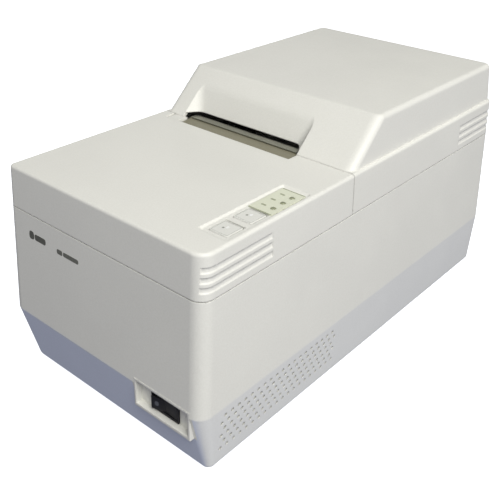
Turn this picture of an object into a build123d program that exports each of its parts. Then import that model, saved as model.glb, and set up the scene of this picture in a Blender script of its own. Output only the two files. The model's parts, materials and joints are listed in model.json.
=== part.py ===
from build123d import *
import math
import os

# Receipt printer for a shop counter: an impact printer that prints on a 76 mm roll.
# Millimetres. +X is the right-hand side, +Y is the rear, +Z is up.
# The origin is on the counter, below the middle of the case.

# ---- Case outline: half width, front and rear at each level; the walls lean between them.
FOOT_H = 2.0
BASE_Z = FOOT_H
PLINTH_Z = 40.3
SEAM_Z = 106.8
DECK_Z = 131.7
HOOD_Z = 157.8
LEVELS = [
    (BASE_Z, 75.4, -143.3, 150.6),
    (PLINTH_Z, 78.0, -152.1, 152.1),
    (DECK_Z, 74.9, -145.7, 149.9),
]
CORNER_R = 8.0
BASE_CORNER_R = 4.0
LEFT_CORNER_R = 3.2
WALL = 2.6
COVER_WALL = 2.2
FLOOR = 3.0
SEAM_GAP = 0.4
COVER_BOTTOM = SEAM_Z + SEAM_GAP
SPLIT_Y = -25.6
SPLIT_GAP = 0.5
DECK_EDGE_R = 1.8

# ---- Covers
HOOD_SIDE = 2.1
HOOD_TOP_HALF = 72.3
HOOD_TOP_FRONT = 1.9
HOOD_TOP_REAR = 143.9
HOOD_REAR = 149.2
HOOD_CORNER_R = 6.0
HOOD_LEFT_R = 4.2
HOOD_TOP_EDGE_R = 3.0
SCOOP_X = (-58.4, 34.3)
SCOOP_LIP = (-15.1, 133.3)
SCOOP_TOP = (-8.0, 148.3)
SCOOP_SIDE_R = 7.0
SCOOP_TOP_R = 14.0
NOTCH_X = (-66.0, 35.0)
NOTCH_Y = -33.9
TAB_X = (-65.2, -55.8)
GROOVE_Z = (112.8, 117.9, 123.1)
GROOVE_H = 3.4
GROOVE_DEPTH = 0.65
GROOVE_X = 71.9
GROOVE_RUN_OUT = 7.0
FRONT_GROOVE_END = -96.5
REAR_GROOVE_START = 100.6
HINGE_Z = SEAM_Z + SEAM_GAP / 2
HOOK_INNER_R = 4.0
HOOK_OUTER_R = 6.4
HOOK_W = 6.0
HOOK_X = 44.0
LIP_IN = WALL + 1.6
LIP_TOP = SEAM_Z + 2.2

# ---- Control panel on the front cover
PANEL_X = (54.2, 71.2)
PANEL_Y = (-126.0, -63.2)
PANEL_DEPTH = 1.2
PANEL_SLOPE = 1.6
BUTTON = 12.0
BUTTON_GAP = 0.3
BUTTON_REAR_GAP = 1.2
BUTTON_DROP = 0.95
BUTTON_X = 62.7
FEED_BUTTON_Y = -117.2
ONLINE_BUTTON_Y = -99.8
BUTTON_TRAVEL = 0.8
LABEL_Y = (-92.7, -64.2)
LED_X = 66.3
LED_YS = (-86.0, -78.2, -70.6)
LED_R = 1.5
BOARD_T = 1.6
PANEL_BOARD_Z = 119.0
SWITCH_TOP_Z = 124.6

# ---- Power switch, recessed in a frame on the front of the plinth
FRAME_X = (29.1, 70.4)
FRAME_Z = (25.0, 43.6)
FRAME_EDGE_R = 0.9
RECESS_X = (30.9, 69.1)
RECESS_Z = (27.2, 42.2)
FRONT_Y = LEVELS[1][2]
RECESS_DEPTH = 4.2
ROCKER_X = 49.5
ROCKER_Z = 33.2
ROCKER_PIVOT_Y = FRONT_Y + 4.7
ROCKER_TILT = 7.0

# ---- Paper path and print mechanism
PLATE_T = 1.6
LEFT_PLATE_X = -68.0
RIGHT_PLATE_X = 38.0
MECH_BASE_Z = 66.0
PLATE_BOTTOM = MECH_BASE_Z + PLATE_T
PLATE_TOP = 119.0
PRINT_X = -16.0
SHAFT_Y = -46.0
SHAFT_Z = 88.0
SHAFT_R = 4.0
RAIL_Y = -74.0
RAIL_Z = 86.0
RAIL_R = 3.0
RUN_FIT = 0.05
HEAD_Z = 104.2
CARRIAGE_HALF = 12.0
CLAMP_HALF = 4.0
BELT_Y = -60.0
BELT_Z = (72.0, 78.0)
BELT_T = 1.2
PULLEY_SEAT_R = 5.7
PULLEY_FLANGE_R = 7.9
BELT_INNER_R = 6.0
IDLER_X = -57.5
DRIVE_X = 30.0
FEED_Y = -12.0
FEED_Z = 82.0
FEED_SHAFT_R = 3.0
FEED_ROLLER_R = 6.0
PRESS_Y = -22.3
PRESS_ROLLER_R = 4.0
PRESS_SHAFT_R = 1.5
GUIDE_LEFT = -55.2
TEAR_PITCH = 2.0
TEAR_TIP_Y = -16.8
FEED_ROLLERS_X = (-50.0, -2.0)
FEED_ROLLER_L = 16.0
GEAR_MODULE = 0.8
FEED_TEETH = 28
IDLER_TEETH = 18
PINION_TEETH = 14
GEAR_X = 41.2
GEAR_W = 5.0
GEAR_BACKLASH = 0.05
GEAR_SPREAD = 0.1
MOTOR_Y = 7.0
MOTOR_Z = 88.0
MOTOR_R = 13.0
MOTOR_SHAFT_R = 1.5
STUD_R = 2.0
HEAD_R = 11.0
HEAD_Y = (-60.0, -38.0)
NOSE_TIP_Y = -20.2
PLATEN_Y = -17.4
PLATEN_Z = (97.0, 112.0)

# ---- Ribbon
CARTRIDGE_Z = (96.0, 118.0)
CARTRIDGE_REST_Z = 112.0
ARM_X = [(-64.0, -60.0), (28.5, 36.0)]
KNOB = (-40.0, -92.0)

# ---- Paper roll and its well
WELL_Y = 78.0
WELL_Z = 99.0
WELL_R = 51.0
WELL_X = (-59.0, 27.0)
WELL_WALL = 2.0
INNER_DECK_Z = (100.0, 102.0)
ROLL_Z = 93.0
ROLL_R = 36.0
ROLL_X = (-54.0, 22.0)
CORE_R = 7.5
SPINDLE_R = 4.0

# ---- Electrics
BOARD_Z = 12.0
BOARD_X = (-64.0, 64.0)
BOARD_Y = (2.0, 142.0)
REAR_PLATE_Y = 146.8
REAR_PLATE_T = 1.2
INLET_X = (22.0, 49.0)
INLET_Z = (16.0, 36.0)
SOCKET_X = (24.5, 46.5)
SOCKET_Z = (18.5, 33.5)
PORT_X = (-35.0, 5.0)
PORT_Z = (19.0, 31.0)
JACK_X = (8.0, 19.0)
JACK_Z = (16.0, 30.0)
DIP_X = (-48.0, -38.0)
DIP_Z = (20.0, 28.0)

# ---- Posts, feet and vents
MECH_POSTS = [(x, y) for x in (-62.0, 46.0) for y in (-96.0, 14.0)]
DECK_POSTS = [(x, y) for x in (-66.0, 66.0) for y in (32.0, 138.0)]
BOARD_POSTS = [(x, y) for x in (-58.0, 58.0) for y in (8.0, 128.0)]
BRACKET_POSTS = [(x, -114.0) for x in (-52.0, 14.0)]
FOOT_POINTS = [(x, y) for x in (-60.0, 60.0) for y in (-126.0, 132.0)]
SCREW_R = 1.5
FOOT_R = 6.4
VENT_R = 1.0
VENT_PITCH = 5.2
VENT_ROW_PITCH = 4.4
VENT_START = (-135.6, 12.6)
VENT_ROWS = 6
VENTS_PER_ROW = 20


# ------------------------------------------------------------------ helpers
def span(x, y, z):
    """A box from three (low, high) pairs."""
    size = [high - low for low, high in (x, y, z)]
    middle = [(low + high) / 2 for low, high in (x, y, z)]
    return Pos(*middle) * Box(*size)


def rod_x(radius, x, y, z):
    """A round bar along X."""
    middle = (x[0] + x[1]) / 2
    return Pos(middle, y, z) * Rot(0, 90, 0) * Cylinder(radius, x[1] - x[0])


def rod_y(radius, x, y, z):
    """A round bar along Y."""
    middle = (y[0] + y[1]) / 2
    return Pos(x, middle, z) * Rot(90, 0, 0) * Cylinder(radius, y[1] - y[0])


def rod_z(radius, x, y, z):
    """A round bar along Z."""
    middle = (z[0] + z[1]) / 2
    return Pos(x, y, middle) * Cylinder(radius, z[1] - z[0])


def plate_x(outline_yz, x):
    """A plate along X with a closed outline of (y, z) points."""
    points = [(y, z) for y, z in outline_yz]
    face = Plane.YZ * make_face(Polyline(*points, close=True))
    return Pos(x[0], 0, 0) * extrude(face, x[1] - x[0])


def wall_at(z):
    """Half width, front and rear of the case at height z."""
    lower, upper = (LEVELS[0], LEVELS[1]) if z < PLINTH_Z else (LEVELS[1], LEVELS[2])
    share = (z - lower[0]) / (upper[0] - lower[0])
    return [low + share * (high - low) for low, high in zip(lower[1:], upper[1:])]


def rounded_plan(half, front, rear, z, radius, left_radius):
    """A level rectangle with rounded corners, the left front one tighter than the others."""
    plan = Pos(0, (front + rear) / 2, z) * Rectangle(2 * half, rear - front)
    corners = plan.vertices().sort_by_distance((-half, front, z))
    plan = fillet(corners[1:], max(radius, 1.0))
    left = plan.vertices().sort_by_distance((-half, front, z))[0]
    return fillet(left, max(left_radius, 1.0))


def outline(z, inset=0.0):
    """The case's rounded outline at height z, moved inward by inset."""
    half, front, rear = wall_at(z)
    taper = max(0.0, (PLINTH_Z - z) / (PLINTH_Z - BASE_Z))
    radius = CORNER_R - taper * (CORNER_R - BASE_CORNER_R)
    rise = max(0.0, (z - PLINTH_Z) / (DECK_Z - PLINTH_Z))
    left_radius = CORNER_R - rise * (CORNER_R - LEFT_CORNER_R)
    return rounded_plan(half - inset, front + inset, rear - inset, z, radius - inset, left_radius - inset)


def drafted(z_low, z_high, inset=0.0):
    """The case's volume between two levels, moved inward by inset."""
    return loft([outline(z_low, inset), outline(z_high, inset)], ruled=True)


def ring(z_low, z_high, outer, inner):
    """A band that follows the case's wall between two insets."""
    return drafted(z_low, z_high, outer) - drafted(z_low - 0.1, z_high + 0.1, inner)


def grip_grooves(corner_y, end_y):
    """Cutters for the rounded finger grooves round one pair of corners; they run out at end_y."""
    inward = math.copysign(GROOVE_RUN_OUT, corner_y - end_y)
    plan = [(GROOVE_X, corner_y), (GROOVE_X, end_y + inward), (GROOVE_X + 3.2, end_y)]
    plan += [(90.0, end_y), (90.0, corner_y)]
    limit = Pos(0, 0, GROOVE_Z[0] - 5) * extrude(make_face(Polyline(*plan, close=True)), 20)
    profile = [(-0.5, 0.0), (-0.3, 0.8), (0.0, 1.0), (0.3, 0.8), (0.5, 0.0)]
    cutters = []
    for z in GROOVE_Z:
        rings = [outline(z + up * GROOVE_H, share * GROOVE_DEPTH) for up, share in profile]
        band = drafted(z - GROOVE_H / 2, z + GROOVE_H / 2, -1.0) - loft(rings, ruled=True)
        cutter = band & limit
        cutters += [cutter, mirror(cutter, about=Plane.YZ)]
    return cutters


def hook(axis_y, direction, x):
    """A curved hook that wraps the lower case's top edge about the hinge line."""
    ring_face = Circle(HOOK_OUTER_R) - Circle(HOOK_INNER_R)
    sector_points = [(0, 0), (20, -8.0), (20, 20), (3.0, 20)]
    sector = make_face(Polyline(*sector_points, close=True))
    face = Plane.YZ * (ring_face & sector)
    solid = extrude(face, HOOK_W)
    if direction < 0:
        solid = mirror(solid, about=Plane.XZ)
    return Pos(x - HOOK_W / 2, axis_y, HINGE_Z) * solid


FRONT_HINGE_Y = wall_at(SEAM_Z)[1] - 0.3
REAR_HINGE_Y = wall_at(SEAM_Z)[2] + 0.3


# ------------------------------------------------------------------ case and covers
def vents():
    """Cutters for the staggered ventilation holes in both sides of the plinth."""
    cutters = []
    for row in range(VENT_ROWS):
        shifted = row % 2
        for column in range(VENTS_PER_ROW - shifted):
            y = VENT_START[0] + VENT_PITCH * (column + shifted / 2)
            z = VENT_START[1] + VENT_ROW_PITCH * row
            for side in (-1, 1):
                cutters.append(rod_x(VENT_R, sorted((side * 55, side * 90)), y, z))
    return cutters


def switch_frame():
    """The raised frame that carries the power switch, with its recess cut later."""
    block = span(FRAME_X, (FRONT_Y, FRONT_Y + 6.6), FRAME_Z)
    block = block & extrude(outline(PLINTH_Z), 20, both=True)
    rim = block.edges().group_by(Axis.Y)[0].sort_by(Axis.Z)[:-1]
    return fillet(rim, FRAME_EDGE_R)


def lower_case():
    """The bottom moulding: plinth, walls, seam lip, bosses and openings."""
    case = drafted(BASE_Z, PLINTH_Z) + drafted(PLINTH_Z, SEAM_Z)
    case = fillet(case.edges().group_by(Axis.Z)[0], 2.0)
    case -= drafted(BASE_Z + FLOOR, PLINTH_Z, WALL)
    case -= drafted(PLINTH_Z, SEAM_Z + 1.0, WALL)
    lip = ring(SEAM_Z - 4.0, LIP_TOP, WALL, LIP_IN)
    lip -= span((-90, 90), (SPLIT_Y - 12, SPLIT_Y + 12), (SEAM_Z, LIP_TOP + 1))
    for side in (-1, 1):
        gap = (side * HOOK_X - HOOK_W / 2 - 1.0, side * HOOK_X + HOOK_W / 2 + 1.0)
        lip -= span(gap, (-160, 160), (SEAM_Z - 5.0, LIP_TOP + 1))
    case += lip
    case += switch_frame()
    case -= span(RECESS_X, (FRONT_Y - 1, FRONT_Y + RECESS_DEPTH), RECESS_Z)
    body_z = (ROCKER_Z - 4.9, ROCKER_Z + 4.9)
    case -= span((ROCKER_X - 9.8, ROCKER_X + 9.8), (FRONT_Y, FRONT_Y + 12), body_z)
    case -= vents()
    case -= span((-50, 50), (140, 160), (15.0, 37.0))
    for x, y in MECH_POSTS:
        case += rod_z(4.0, x, y, (BASE_Z + 1, MECH_BASE_Z))
    for x, y in DECK_POSTS:
        case += rod_z(3.5, x, y, (BASE_Z + 1, INNER_DECK_Z[0]))
    for x, y in BOARD_POSTS:
        case += rod_z(3.0, x, y, (BASE_Z + 1, BOARD_Z))
    for x, y in MECH_POSTS:
        case -= rod_z(SCREW_R, x, y, (MECH_BASE_Z - 10, MECH_BASE_Z + 1))
    for x, y in BOARD_POSTS + BRACKET_POSTS:
        case -= rod_z(SCREW_R, x, y, (BASE_Z + 1.2, BOARD_Z + 1))
    for x, y in FOOT_POINTS:
        case -= rod_z(FOOT_R + 0.2, x, y, (BASE_Z - 1, BASE_Z + 1.2))
    return case


def rubber_feet():
    """Four round feet pressed into the underside."""
    feet = [rod_z(FOOT_R, x, y, (0, BASE_Z + 1.1)) for x, y in FOOT_POINTS]
    return [chamfer(foot.edges().group_by(Axis.Z)[0], 0.6) for foot in feet]


def panel_recess():
    """Cutter for the control panel's shallow recess with sloping walls."""
    low = DECK_Z - PANEL_DEPTH
    middle = (sum(PANEL_X) / 2, sum(PANEL_Y) / 2)
    floor_size = (PANEL_X[1] - PANEL_X[0], PANEL_Y[1] - PANEL_Y[0])
    grow = 2 * PANEL_SLOPE * (PANEL_DEPTH + 0.6) / PANEL_DEPTH
    floor_face = Pos(*middle, low) * RectangleRounded(*floor_size, 1.0)
    top_size = (floor_size[0] + grow * 0.55, floor_size[1] + grow)
    top_face = Pos(*middle, DECK_Z + 0.6) * RectangleRounded(*top_size, 1.6)
    return loft([floor_face, top_face], ruled=True)


def front_cover():
    """The front lid: tilts forward to reach the ribbon."""
    end_y = SPLIT_Y - SPLIT_GAP / 2
    keep = span((-90, 90), (-170, end_y), (COVER_BOTTOM, DECK_Z + 1))
    cover = drafted(COVER_BOTTOM, DECK_Z) & keep
    rim = [e for e in cover.edges().group_by(Axis.Z)[-1] if e.center().Y < end_y - 0.5]
    cover = fillet(rim, DECK_EDGE_R)
    cover -= drafted(COVER_BOTTOM - 1, DECK_Z - 2.4, COVER_WALL)
    cover -= span(NOTCH_X, (NOTCH_Y, end_y + 1), (DECK_Z - 10, DECK_Z + 1))
    cover -= panel_recess()
    for y in (FEED_BUTTON_Y, ONLINE_BUTTON_Y):
        hole = BUTTON / 2 + BUTTON_GAP
        hole_y = (y - hole, y + BUTTON / 2 + BUTTON_REAR_GAP)
        cover -= span((BUTTON_X - hole, BUTTON_X + hole), hole_y, (DECK_Z - 5, DECK_Z))
    for y in LED_YS:
        cover -= rod_z(LED_R + 0.02, LED_X, y, (DECK_Z - 5, DECK_Z))
    for cutter in grip_grooves(-160.0, FRONT_GROOVE_END):
        cover -= cutter
    for side in (-1, 1):
        cover += hook(FRONT_HINGE_Y, 1, side * HOOK_X)
    return cover


def hood_block(inset, z_low, z_high):
    """The hood's volume between two levels, moved inward by inset."""
    sections = []
    base_front = SPLIT_Y + SPLIT_GAP / 2
    rise = HOOD_Z - DECK_Z
    for z in (z_low, z_high):
        share = (z - DECK_Z) / rise
        half = LEVELS[2][1] - HOOD_SIDE + share * (HOOD_TOP_HALF - LEVELS[2][1] + HOOD_SIDE)
        front = base_front + share * (HOOD_TOP_FRONT - base_front) + inset * 1.45
        rear = HOOD_REAR + share * (HOOD_TOP_REAR - HOOD_REAR) - inset
        radii = (HOOD_CORNER_R - inset, HOOD_LEFT_R - inset)
        sections.append(rounded_plan(half - inset, front, rear, z, *radii))
    return loft(sections, ruled=True)


def scoop(grow):
    """Cutter for the shallow scoop above the paper slot, ramped at the sides and rounded inside."""
    rise = Vector(0, SCOOP_TOP[0] - SCOOP_LIP[0], SCOOP_TOP[1] - SCOOP_LIP[1]).normalized()
    slope = Vector(0, HOOD_TOP_FRONT - SCOOP_TOP[0], HOOD_Z - SCOOP_TOP[1]).normalized()
    crease = Vector(0, SCOOP_TOP[0] + grow, SCOOP_TOP[1] + 0.02)
    foot = crease - rise * 27
    far = crease + slope * 24
    points = [foot, crease, far, Vector(0, -70, far.Z), Vector(0, -70, foot.Z)]
    block = plate_x([(p.Y, p.Z) for p in points], (-95, 95))
    crease_edge = block.edges().filter_by(Axis.X).sort_by_distance(crease)[0]
    block = fillet(crease_edge, SCOOP_TOP_R)
    inward = Vector(0, slope.Z, -slope.Y)
    for x, side in zip(SCOOP_X, (-1, 1)):
        ramp_normal = slope.cross(Vector(-side, 0, 0) + inward) * side
        edge_point = Vector(x + side * grow, SCOOP_TOP[0], SCOOP_TOP[1])
        block = split(block, Plane(edge_point, z_dir=ramp_normal), keep=Keep.TOP)
    middle_x = sum(SCOOP_X) / 2
    walls = [e for e in block.edges() if e.center().Y > foot.Y and abs(e.center().X - middle_x) > 20]
    return fillet([e for e in walls if e.length < 30], SCOOP_SIDE_R)


def rear_cover():
    """The rear lid with its hood: tilts back to reach the paper roll."""
    start_y = SPLIT_Y + SPLIT_GAP / 2
    keep = span((-90, 90), (start_y, 170), (COVER_BOTTOM, DECK_Z + 1))
    skirt = drafted(COVER_BOTTOM, DECK_Z) & keep
    rim = [e for e in skirt.edges().group_by(Axis.Z)[-1] if e.center().Y > start_y + 0.5]
    skirt = fillet(rim, DECK_EDGE_R)
    hood = hood_block(0, DECK_Z - 3, HOOD_Z) & span((-90, 90), (start_y, 170), (DECK_Z - 2, HOOD_Z + 1))
    hood = fillet(hood.edges().group_by(Axis.Z)[-1], HOOD_TOP_EDGE_R)
    skirt_room = drafted(COVER_BOTTOM - 1, DECK_Z - 2.4, COVER_WALL)
    hood_room = hood_block(2.4, DECK_Z - 3, HOOD_Z - 2.4) - scoop(2.4)
    cover = skirt + hood - skirt_room - hood_room - scoop(0)
    cover -= span(SCOOP_X, (start_y - 1, -5.0), (DECK_Z - 9, SCOOP_LIP[1]))
    cover += span(TAB_X, (NOTCH_Y + 0.5, start_y + 1), (DECK_Z - 2.6, DECK_Z - 0.7))
    for cutter in grip_grooves(160.0, REAR_GROOVE_START):
        cover -= cutter
    for side in (-1, 1):
        cover += hook(REAR_HINGE_Y, -1, side * HOOK_X)
    return cover


# ------------------------------------------------------------------ control panel
def button(y):
    """A square key cap with a retaining flange and a stem over its switch."""
    half = BUTTON / 2
    flange_half = half + 1.4
    cap = span((BUTTON_X - half, BUTTON_X + half), (y - half, y + half), (DECK_Z - 3.0, DECK_Z - BUTTON_DROP))
    cap = fillet(cap.edges().filter_by(Axis.Z), 1.0)
    cap = fillet(cap.edges().group_by(Axis.Z)[-1], 0.4)
    flange_x = (BUTTON_X - flange_half, BUTTON_X + flange_half)
    cap += span(flange_x, (y - flange_half, y + flange_half), (DECK_Z - 3.8, DECK_Z - 2.8))
    return cap + rod_z(1.8, BUTTON_X, y, (SWITCH_TOP_Z + BUTTON_TRAVEL + 0.4, DECK_Z - 3.5))


def panel_label():
    """The thin overlay that frames the three indicator lamps."""
    floor_z = DECK_Z - PANEL_DEPTH
    label = span((PANEL_X[0] + 0.8, PANEL_X[1] - 0.6), LABEL_Y, (floor_z, floor_z + 0.4))
    label = fillet(label.edges().filter_by(Axis.Z), 0.8)
    for y in LED_YS:
        label -= rod_z(LED_R + 0.02, LED_X, y, (floor_z - 1, floor_z + 1))
    return label


def led_lenses():
    """Three round lenses that carry light up through the overlay."""
    lenses = []
    for y in LED_YS:
        lens = rod_z(LED_R, LED_X, y, (DECK_Z - 4.0, DECK_Z - 0.4))
        lens = fillet(lens.edges().group_by(Axis.Z)[-1], 0.7)
        lenses.append(lens)
    return lenses


def panel_bracket():
    """A folded steel bracket that holds the panel board under the front cover."""
    top_z = PANEL_BOARD_Z
    shelf = span((48.4, 71.0), (-128.0, -59.0), (top_z - PLATE_T, top_z))
    leg = span((48.4, 48.4 + PLATE_T), (-90.0, -61.0), (PLATE_BOTTOM, top_z))
    return shelf + leg


def panel_board():
    """The control panel's circuit board."""
    return span((52.0, 70.8), (-127.0, -60.0), (PANEL_BOARD_Z, PANEL_BOARD_Z + BOARD_T))


def panel_switches():
    """The two push switches on the panel board."""
    board_top = PANEL_BOARD_Z + BOARD_T
    switches = []
    for y in (FEED_BUTTON_Y, ONLINE_BUTTON_Y):
        body = span((BUTTON_X - 3, BUTTON_X + 3), (y - 3, y + 3), (board_top, SWITCH_TOP_Z - 0.6))
        switches.append(body + rod_z(1.7, BUTTON_X, y, (SWITCH_TOP_Z - 0.7, SWITCH_TOP_Z)))
    return switches


def indicator_leds():
    """The three lamps on the panel board, below their lenses."""
    board_top = PANEL_BOARD_Z + BOARD_T
    lamps = []
    for y in LED_YS:
        lamp = rod_z(1.5, LED_X, y, (board_top, board_top + 5.5))
        lamp = fillet(lamp.edges().group_by(Axis.Z)[-1], 1.2)
        lamps.append(lamp + rod_z(1.9, LED_X, y, (board_top, board_top + 1.0)))
    return lamps


# ------------------------------------------------------------------ power switch
def switch_housing():
    """The switch's body and flange, with the pocket that its rocker tips in."""
    wall_y = FRONT_Y + RECESS_DEPTH
    x, z = ROCKER_X, ROCKER_Z
    housing = span((x - 10.1, x + 10.1), (wall_y - 1.0, wall_y), (z - 5.6, z + 5.6))
    housing = fillet(housing.edges().filter_by(Axis.Y), 0.6)
    housing += span((x - 9.7, x + 9.7), (wall_y, FRONT_Y + 18.0), (z - 4.8, z + 4.8))
    housing -= span((x - 9.4, x + 9.4), (wall_y - 2.0, FRONT_Y + 8.6), (z - 4.2, z + 4.2))
    housing -= rod_z(0.8 + RUN_FIT, x, ROCKER_PIVOT_Y, (z - 4.6, z + 4.6))
    for tab_x in (x - 5.0, x, x + 5.0):
        tab_y = (FRONT_Y + 18.0, FRONT_Y + 24.0)
        housing += span((tab_x - 0.4, tab_x + 0.4), tab_y, (z - 2.4, z + 2.4))
    return housing


def power_rocker():
    """The rocker with its shallow V face, at rest with the left end out."""
    front = [(-8.9, -2.4), (0.0, -0.8), (8.9, -2.4)]
    back = [(8.9, 0.9), (-8.9, 0.9)]
    face = make_face(Polyline(*front, *back, close=True))
    rocker = Pos(0, 0, -3.9) * extrude(face, 7.8)
    rocker = fillet(rocker.edges().filter_by(Axis.Z).sort_by(Axis.Y)[:2], 0.5)
    rocker += rod_z(0.8, 0, 0, (-4.5, 4.5))
    return Pos(ROCKER_X, ROCKER_PIVOT_Y, ROCKER_Z) * Rot(0, 0, ROCKER_TILT) * rocker


# ------------------------------------------------------------------ print mechanism
def mechanism_base():
    """The steel base plate that the print mechanism stands on."""
    base = span((-70.0, 52.0), (-102.0, 21.0), (MECH_BASE_Z, PLATE_BOTTOM))
    base = fillet(base.edges().filter_by(Axis.Z), 4.0)
    base -= rod_z(6.0, DRIVE_X, BELT_Y, (MECH_BASE_Z - 1, PLATE_BOTTOM + 1))
    for x, y in MECH_POSTS:
        base -= rod_z(SCREW_R, x, y, (MECH_BASE_Z - 1, PLATE_BOTTOM + 1))
    return base


def side_plate(x):
    """One of the two steel plates that carry the shafts."""
    corners = [(-100, PLATE_BOTTOM), (20, PLATE_BOTTOM), (20, 102), (2, 110), (-4, PLATE_TOP)]
    corners += [(-34, PLATE_TOP), (-44, CARTRIDGE_REST_Z), (-100, CARTRIDGE_REST_Z)]
    plate = plate_x(corners, (x, x + PLATE_T))
    through = (x - 1, x + PLATE_T + 1)
    plate -= rod_x(SHAFT_R, through, SHAFT_Y, SHAFT_Z)
    plate -= rod_x(RAIL_R, through, RAIL_Y, RAIL_Z)
    plate -= rod_x(FEED_SHAFT_R + RUN_FIT, through, FEED_Y, FEED_Z)
    plate -= rod_x(PRESS_SHAFT_R + RUN_FIT, through, PRESS_Y, FEED_Z)
    return plate


def right_side_plate():
    """The right plate, with the gear train's stud and motor holes."""
    through = (RIGHT_PLATE_X - 1, RIGHT_PLATE_X + PLATE_T + 1)
    plate = side_plate(RIGHT_PLATE_X)
    plate -= rod_x(MOTOR_SHAFT_R + RUN_FIT, through, MOTOR_Y, MOTOR_Z)
    return plate - rod_x(STUD_R, through, IDLER_GEAR[0], IDLER_GEAR[1])


def carriage_shaft():
    """The polished shaft that the head carriage slides on."""
    shaft = rod_x(SHAFT_R, (LEFT_PLATE_X - 2, RIGHT_PLATE_X + PLATE_T + 2), SHAFT_Y, SHAFT_Z)
    return chamfer(shaft.edges(), 0.5)


def guide_rail():
    """The front rail that stops the carriage turning."""
    rail = rod_x(RAIL_R, (LEFT_PLATE_X - 2, RIGHT_PLATE_X + PLATE_T + 2), RAIL_Y, RAIL_Z)
    return chamfer(rail.edges(), 0.5)


def head_carriage():
    """The carriage: bearing block, saddle for the head, front fork and belt clamp."""
    x = (PRINT_X - CARRIAGE_HALF, PRINT_X + CARRIAGE_HALF)
    carriage = span(x, (SHAFT_Y - 6, SHAFT_Y + 6), (81.0, 93.0))
    carriage += span((PRINT_X - 10, PRINT_X + 10), (SHAFT_Y - 12, SHAFT_Y + 6), (82.0, 97.0))
    carriage += span(x, (RAIL_Y + 4, SHAFT_Y - 5), (81.5, 84.0))
    carriage += span(x, (RAIL_Y - 5, RAIL_Y + 4.5), (81.5, 91.5))
    slot_z = (RAIL_Z - RAIL_R - RUN_FIT, RAIL_Z + RAIL_R + RUN_FIT)
    carriage -= span((x[0] - 1, x[1] + 1), (RAIL_Y - 6, RAIL_Y + RAIL_R + 0.1), slot_z)
    clamp_x = (PRINT_X - CLAMP_HALF, PRINT_X + CLAMP_HALF)
    run_y = BELT_Y + BELT_INNER_R + BELT_T / 2
    carriage += span(clamp_x, (run_y - 3.0, run_y + 3.0), (BELT_Z[0] - 1.6, 83.0))
    slot_x = (clamp_x[0] - 1, clamp_x[1] + 1)
    carriage -= span(slot_x, (run_y - 1.0, run_y + 1.0), (BELT_Z[0] - 0.4, BELT_Z[1] + 0.4))
    carriage -= rod_x(SHAFT_R + RUN_FIT, (x[0] - 1, x[1] + 1), SHAFT_Y, SHAFT_Z)
    return carriage - rod_y(HEAD_R, PRINT_X, HEAD_Y, HEAD_Z)


def print_head():
    """The finned print head with its wedge-shaped nose."""
    head = rod_y(HEAD_R, PRINT_X, HEAD_Y, HEAD_Z)
    for step in range(5):
        y = HEAD_Y[0] + 3.0 + 3.6 * step
        gap = (y, y + 1.6)
        head -= rod_y(HEAD_R + 1, PRINT_X, gap, HEAD_Z) - rod_y(8.0, PRINT_X, gap, HEAD_Z)
    root = Plane((PRINT_X, HEAD_Y[1] - 0.5, HEAD_Z), x_dir=(1, 0, 0), z_dir=(0, 1, 0)) * Rectangle(12, 17)
    tip = Plane((PRINT_X, NOSE_TIP_Y, HEAD_Z), x_dir=(1, 0, 0), z_dir=(0, 1, 0)) * Rectangle(4.5, 11)
    return head + loft([root, tip], ruled=True)


def platen_bar():
    """The steel bar behind the paper that takes the blows of the print wires."""
    bar = span((LEFT_PLATE_X + PLATE_T, RIGHT_PLATE_X), (PLATEN_Y + 1.0, -10.0), PLATEN_Z)
    return chamfer(bar.edges().filter_by(Axis.X), 0.8)


def platen_pad():
    """The rubber strip on the front of the platen bar."""
    return span((-58.0, 28.0), (PLATEN_Y, PLATEN_Y + 1.0), (PLATEN_Z[0] + 2, PLATEN_Z[1] - 2))


def feed_shaft():
    """The paper feed shaft."""
    return chamfer(rod_x(FEED_SHAFT_R, (LEFT_PLATE_X - 2, GEAR_X + GEAR_W + 1), FEED_Y, FEED_Z).edges(), 0.4)


def rollers(radius, bore, y):
    """A pair of rubber rollers on a shaft."""
    pair = []
    for x in FEED_ROLLERS_X:
        ends = (x, x + FEED_ROLLER_L)
        tyre = rod_x(radius, ends, y, FEED_Z)
        tyre = fillet(tyre.edges(), 0.5)
        pair.append(tyre - rod_x(bore, ends, y, FEED_Z))
    return pair


def pressure_shaft():
    """The thin shaft of the sprung pressure rollers."""
    return rod_x(PRESS_SHAFT_R, (LEFT_PLATE_X - 1, RIGHT_PLATE_X + PLATE_T + 1), PRESS_Y, FEED_Z)


def paper_chute():
    """The bent sheet that leads the paper under the feed shaft."""
    lower = [(20.5, 73.0), (16.0, PLATE_BOTTOM), (-20.0, PLATE_BOTTOM), (-27.0, 74.5)]
    upper = [(-26.2, 75.2), (-19.6, PLATE_BOTTOM + 1), (15.3, PLATE_BOTTOM + 1), (19.6, 73.6)]
    return plate_x(lower + upper, (-56.0, 24.0))


def drive_belt():
    """The toothed belt's closed loop round both pulleys."""
    middle = (IDLER_X + DRIVE_X) / 2
    reach = DRIVE_X - IDLER_X
    outer_r = BELT_INNER_R + BELT_T
    loop = SlotCenterToCenter(reach, 2 * outer_r) - SlotCenterToCenter(reach, 2 * BELT_INNER_R)
    return Pos(middle, BELT_Y, BELT_Z[0]) * extrude(loop, BELT_Z[1] - BELT_Z[0])


def pulley(x, bore):
    """A flanged belt pulley about a vertical axis."""
    low, high = BELT_Z[0] - 0.3, BELT_Z[1] + 0.3
    wheel = rod_z(PULLEY_SEAT_R, x, BELT_Y, (low - 0.7, high + 0.7))
    for flange in ((low - 0.7, low), (high, high + 0.7)):
        wheel += rod_z(PULLEY_FLANGE_R, x, BELT_Y, flange)
    return wheel - rod_z(bore, x, BELT_Y, (low - 2, high + 2))


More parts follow.
